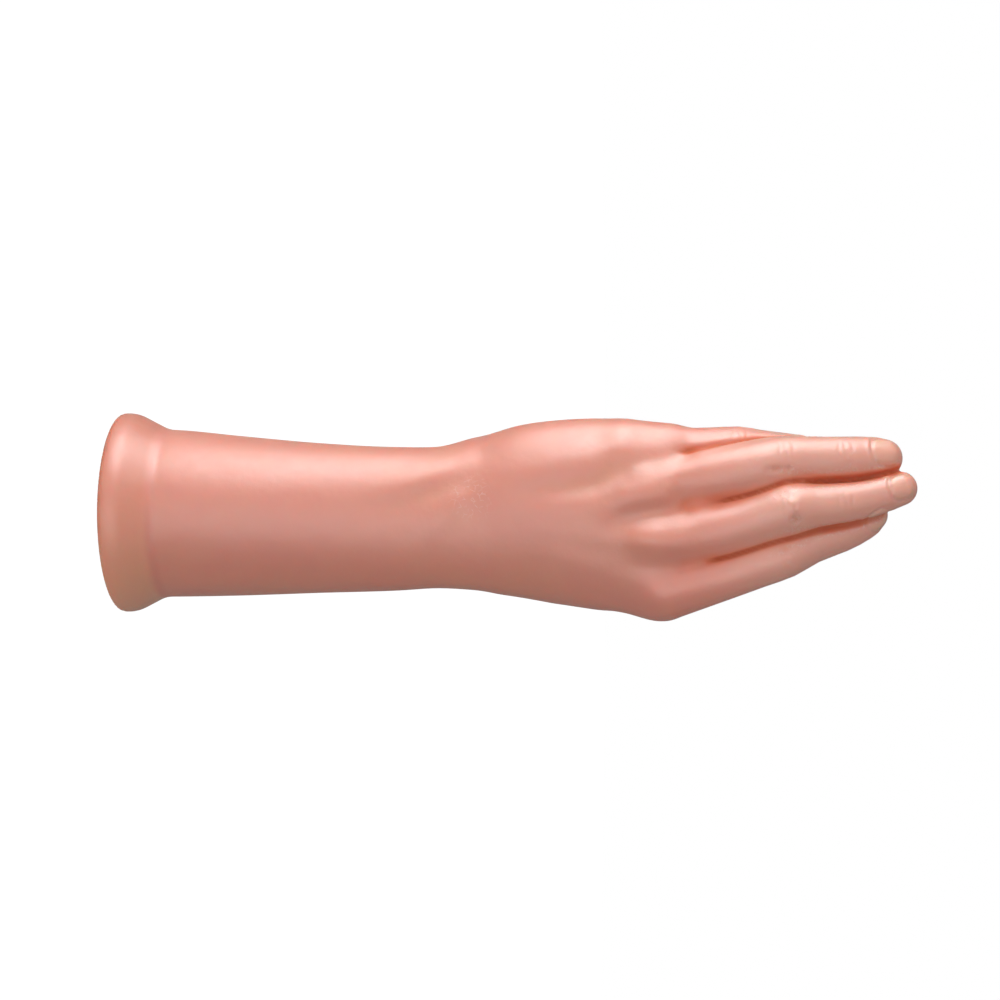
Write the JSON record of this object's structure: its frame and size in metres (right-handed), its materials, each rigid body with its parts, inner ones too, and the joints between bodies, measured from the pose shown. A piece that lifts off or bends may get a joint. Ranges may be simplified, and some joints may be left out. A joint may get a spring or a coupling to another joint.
{
  "type": "passive prosthetic hand and forearm",
  "caption": "Passive hand and forearm with bunched straight fingers and a flared cuff: foam cores on a tube frame, a friction wrist hinge and a turning base coupling under a seamless skin.",
  "frame": {"origin": "centre of the coupling plate's mounting face, at the flared end of the forearm", "axes": "+Z along the forearm towards the fingertips, -Y out of the back of the hand, +X towards the thumb side"},
  "size_m": [0.0848, 0.0828, 0.3282],
  "materials": {
    "axle_bushes": "satin",
    "axle_nut": "satin",
    "chassis_screws": "satin",
    "clamp_screws": "satin",
    "cosmetic_skin": "satin",
    "coupling_plate": "satin",
    "cuff_ring": "matte",
    "cuff_screws": "satin",
    "forearm_foam": "matte",
    "forearm_tube": "satin",
    "friction_pad": "matte",
    "friction_screw": "satin",
    "friction_washers": "matte",
    "hand_chassis": "matte",
    "hand_foam": "matte",
    "index_wire": "satin",
    "index_wire_cap": "matte",
    "little_wire": "satin",
    "little_wire_cap": "matte",
    "middle_wire": "satin",
    "middle_wire_cap": "matte",
    "retaining_ring": "satin",
    "ring_wire": "satin",
    "ring_wire_cap": "matte",
    "rotor_bush": "satin",
    "rotor_housing": "satin",
    "spring_washer": "satin",
    "thrust_washer": "satin",
    "thumb_clamp": "satin",
    "thumb_wire": "satin",
    "thumb_wire_cap": "matte",
    "tube_screws": "satin",
    "wire_clamp": "satin",
    "wrist_axle": "satin",
    "wrist_fork": "satin",
    "wrist_knuckle": "satin"
  },
  "bodies": {
    "coupling": {"coupling_plate": "coupling_plate", "retaining_ring": "retaining_ring", "thrust_washer": "thrust_washer"},
    "forearm": {"rotor_housing": "rotor_housing", "rotor_bush": "rotor_bush", "friction_pad": "friction_pad", "friction_screw": "friction_screw", "forearm_tube": "forearm_tube", "tube_screws": "tube_screws", "wrist_fork": "wrist_fork", "wrist_axle": "wrist_axle", "spring_washer": "spring_washer", "axle_nut": "axle_nut", "friction_washers": "friction_washers", "cuff_ring": "cuff_ring", "cuff_screws": "cuff_screws", "forearm_foam": "forearm_foam", "cosmetic_skin": "cosmetic_skin"},
    "hand": {"wrist_knuckle": "wrist_knuckle", "axle_bushes": "axle_bushes", "hand_chassis": "hand_chassis", "chassis_screws": "chassis_screws", "wire_clamp": "wire_clamp", "thumb_clamp": "thumb_clamp", "clamp_screws": "clamp_screws", "hand_foam": "hand_foam", "index_wire": "index_wire", "middle_wire": "middle_wire", "ring_wire": "ring_wire", "little_wire": "little_wire", "thumb_wire": "thumb_wire", "index_wire_cap": "index_wire_cap", "middle_wire_cap": "middle_wire_cap", "ring_wire_cap": "ring_wire_cap", "little_wire_cap": "little_wire_cap", "thumb_wire_cap": "thumb_wire_cap"}
  },
  "joints": [
    {"name": "forearm_rotation", "type": "hinge", "parent": "coupling", "child": "forearm", "pos_m": [0, 0, 0.022], "axis": [0, 0, 1], "continuous": true},
    {"name": "wrist_flexion", "type": "hinge", "parent": "forearm", "child": "hand", "pos_m": [0, 0, 0.13], "axis": [1, 0, 0], "range_deg": [-35, 35], "deforming": ["cosmetic_skin"]}
  ]
}
